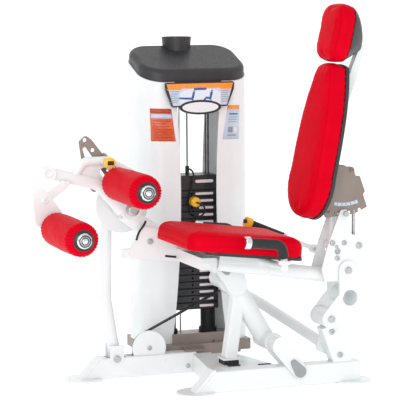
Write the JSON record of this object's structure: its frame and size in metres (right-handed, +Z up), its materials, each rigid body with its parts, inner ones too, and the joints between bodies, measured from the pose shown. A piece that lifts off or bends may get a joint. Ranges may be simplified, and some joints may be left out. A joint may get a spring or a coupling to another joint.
{
  "type": "seated leg curl machine",
  "caption": "Selectorized seated leg curl gym machine with a rocking seat, linked exercise arm, foam rollers, sliding backrest and weight tower.",
  "frame": {"origin": "middle of the machine's overall footprint, on the floor", "axes": "+Z up, the user faces -X, the weight tower stands on the +Y side"},
  "size_m": [1.2902, 1.057, 1.4608],
  "materials": {
    "white_paint": "gloss powder coat",
    "taupe_paint": "satin powder coat",
    "silver_cover": "satin silver paint",
    "charcoal_plastic": "moulded, fine grain",
    "red_vinyl": "upholstery vinyl",
    "black_rubber": "matt",
    "zinc_steel": "zinc plated",
    "chrome": "polished",
    "stack_iron": "black enamel",
    "yellow_plastic": "gloss",
    "white_board": "printed board",
    "cord": "braided"
  },
  "bodies": {
    "root": {"seat_rail": "white_paint", "tower_rail": "white_paint", "cross_member": "white_paint", "rear_post": "white_paint", "brace_tube": "white_paint", "tower_base": "taupe_paint", "shroud_left": "white_paint", "shroud_right": "white_paint", "tower_cap": "charcoal_plastic", "placard": "white_board", "guide_rods": "chrome", "rubber_stops": "black_rubber", "head_frame": "white_paint", "plates_resting": "stack_iron", "tower_cable": "zinc_steel", "belt_pulley_guard": "white_paint", "drive_belt": "black_rubber", "belt_run": "black_rubber", "base_pins": "zinc_steel", "lift_cable": "zinc_steel"},
    "stack": {"stack_head": "stack_iron", "plates_lifted": "stack_iron"},
    "selector": {"selector_pin": "yellow_plastic", "selector_lanyard": "cord"},
    "cable_pulley": {"head_pulley": "charcoal_plastic"},
    "belt_pulley": {"belt_pulley_wheel": "charcoal_plastic"},
    "front_link": {"front_link_frame": "white_paint", "front_link_covers": "silver_cover", "stop_foot": "black_rubber"},
    "rear_link": {"rear_link": "white_paint"},
    "carriage": {"carriage_frame": "white_paint", "handle_bars": "white_paint", "front_arm": "white_paint", "seat_pan": "charcoal_plastic", "seat_cushion": "red_vinyl", "handle_grips": "black_rubber", "handle_caps": "chrome", "carriage_pins": "zinc_steel"},
    "arm": {"arm_frame": "white_paint", "ankle_bracket": "white_paint", "hub_disc": "white_paint"},
    "ankle_roller": {"ankle_pad": "red_vinyl", "ankle_core": "charcoal_plastic"},
    "adjuster": {"pad_adjuster": "taupe_paint"},
    "shin_roller": {"shin_pad": "red_vinyl", "shin_core": "charcoal_plastic"},
    "pull_pin": {"pull_knob": "yellow_plastic"},
    "rod": {"link_rod": "white_paint"},
    "back_link_a": {"back_link_front": "white_paint"},
    "back_link_b": {"back_link_rear": "zinc_steel"},
    "backrest": {"backrest_pad": "red_vinyl", "backrest_shell": "charcoal_plastic", "headrest_pad": "red_vinyl", "headrest_shell": "charcoal_plastic", "back_spine": "white_paint", "sector_plates": "taupe_paint"},
    "lever": {"release_lever": "white_paint", "lever_grip": "black_rubber"},
    "back_lock": {"lock_pin": "zinc_steel"}
  },
  "joints": [
    {"name": "front_link_swing", "type": "hinge", "parent": "root", "child": "front_link", "pos_m": [0.33314, -0.2465, 0.064], "axis": [0, 1, 0], "range_deg": [-0.1, 7.3]},
    {"name": "carriage_rock", "type": "hinge", "parent": "front_link", "child": "carriage", "pos_m": [0.05114, -0.1165, 0.487], "axis": [0, 1, 0], "range_deg": [-0.6, 0.1]},
    {"name": "rear_link_swing", "type": "hinge", "parent": "root", "child": "rear_link", "pos_m": [0.45614, -0.2465, 0.261], "axis": [0, 1, 0], "range_deg": [-0.1, 15.4]},
    {"name": "leg_curl", "type": "hinge", "parent": "carriage", "child": "arm", "pos_m": [-0.24686, -0.0005, 0.685], "axis": [0, -1, 0], "range_deg": [0, 90]},
    {"name": "rod_swing", "type": "hinge", "parent": "root", "child": "rod", "pos_m": [-0.26886, 0.1535, 0.081], "axis": [0, 1, 0], "range_deg": [-0.1, 9.3]},
    {"name": "stack_lift", "type": "slide", "parent": "root", "child": "stack", "axis": [0, 0, 1], "range_m": [-0.0005, 0.1105], "deforming": ["lift_cable"]},
    {"name": "selector_pull", "type": "slide", "parent": "stack", "child": "selector", "axis": [0, -1, 0], "range_m": [0, 0.07]},
    {"name": "cable_pulley_spin", "type": "hinge", "parent": "root", "child": "cable_pulley", "pos_m": [0.11414, 0.4125, 1.122], "axis": [-1, 0, 0], "range_deg": [-1, 133]},
    {"name": "belt_pulley_spin", "type": "hinge", "parent": "root", "child": "belt_pulley", "pos_m": [-0.13186, 0.1535, 0.113], "axis": [0, 1, 0], "range_deg": [-1, 37]},
    {"name": "ankle_roller_spin", "type": "hinge", "parent": "arm", "child": "ankle_roller", "pos_m": [-0.56086, -0.2465, 0.631], "axis": [0, 1, 0], "continuous": true},
    {"name": "pad_slide", "type": "slide", "parent": "arm", "child": "adjuster", "axis": [0.6157, 0, -0.788], "range_m": [0, 0.05]},
    {"name": "shin_roller_spin", "type": "hinge", "parent": "adjuster", "child": "shin_roller", "pos_m": [-0.32086, -0.2465, 0.792], "axis": [0, 1, 0], "continuous": true},
    {"name": "knob_push", "type": "slide", "parent": "arm", "child": "pull_pin", "axis": [0, 1, 0], "range_m": [0, 0.008]},
    {"name": "back_link_swing", "type": "hinge", "parent": "carriage", "child": "back_link_a", "pos_m": [0.48214, -0.2465, 0.538], "axis": [0, 1, 0], "range_deg": [-17.6, 17.6]},
    {"name": "back_link_rear_swing", "type": "hinge", "parent": "carriage", "child": "back_link_b", "pos_m": [0.57414, -0.2465, 0.538], "axis": [0, 1, 0], "range_deg": [-17.7, 17.7]},
    {"name": "back_level", "type": "hinge", "parent": "back_link_a", "child": "backrest", "pos_m": [0.48214, -0.2465, 0.753], "axis": [0, 1, 0], "range_deg": [-17.7, 17.7]},
    {"name": "lever_lift", "type": "hinge", "parent": "carriage", "child": "lever", "pos_m": [0.50814, -0.0165, 0.493], "axis": [0, 1, 0], "range_deg": [0, 10]},
    {"name": "lock_slide", "type": "slide", "parent": "carriage", "child": "back_lock", "axis": [0, 1, 0], "range_m": [-0.0001, 0.0074]}
  ],
  "couplings": [
    {"joint": "front_link_swing", "follows": "leg_curl", "ratio": 0.079},
    {"joint": "carriage_rock", "follows": "leg_curl", "ratio": -0.0033},
    {"joint": "rear_link_swing", "follows": "leg_curl", "ratio": 0.1686},
    {"joint": "rod_swing", "follows": "leg_curl", "ratio": 0.1013},
    {"joint": "stack_lift", "follows": "leg_curl", "m_per_rad": 0.070028},
    {"joint": "cable_pulley_spin", "follows": "leg_curl", "ratio": 1.4589},
    {"joint": "belt_pulley_spin", "follows": "leg_curl", "ratio": 0.4},
    {"joint": "back_link_rear_swing", "follows": "back_link_swing", "ratio": 1},
    {"joint": "back_level", "follows": "back_link_swing", "ratio": -1},
    {"joint": "lock_slide", "follows": "lever_lift", "m_per_rad": 0.041253}
  ]
}
